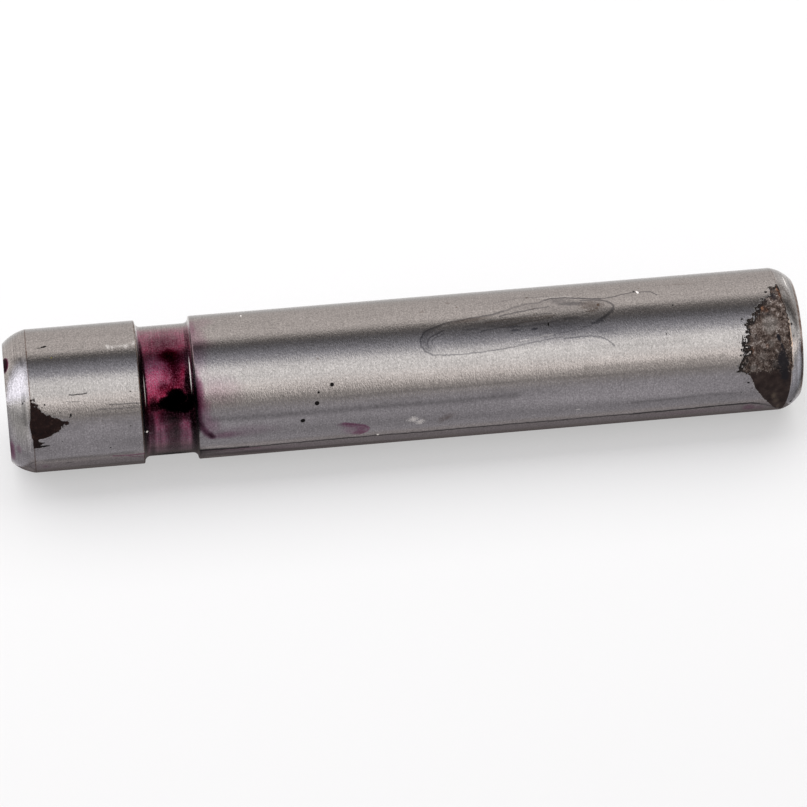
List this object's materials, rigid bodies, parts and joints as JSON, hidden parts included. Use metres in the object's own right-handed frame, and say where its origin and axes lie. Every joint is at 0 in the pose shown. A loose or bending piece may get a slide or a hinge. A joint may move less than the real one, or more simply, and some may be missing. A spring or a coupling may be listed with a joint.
{
  "type": "bucket tooth pin",
  "caption": "Straight ground steel pin with crowned leads and a groove for a split ring near its head, which locks a digging tooth onto its adapter.",
  "frame": {"origin": "centre of the plain end face, which the pin stands on", "axes": "+Z along the pin's axis towards the grooved end; -Y through the middle of the low side that the shear left on the grooved end"},
  "size_m": [0.025, 0.025, 0.1384],
  "materials": {
    "ground_steel": "turned and ground, oiled, with mill scale left on the low side of each cropped end and layout dye in the groove"
  },
  "bodies": {
    "root": {"tooth_pin": "ground_steel"}
  },
  "joints": []
}
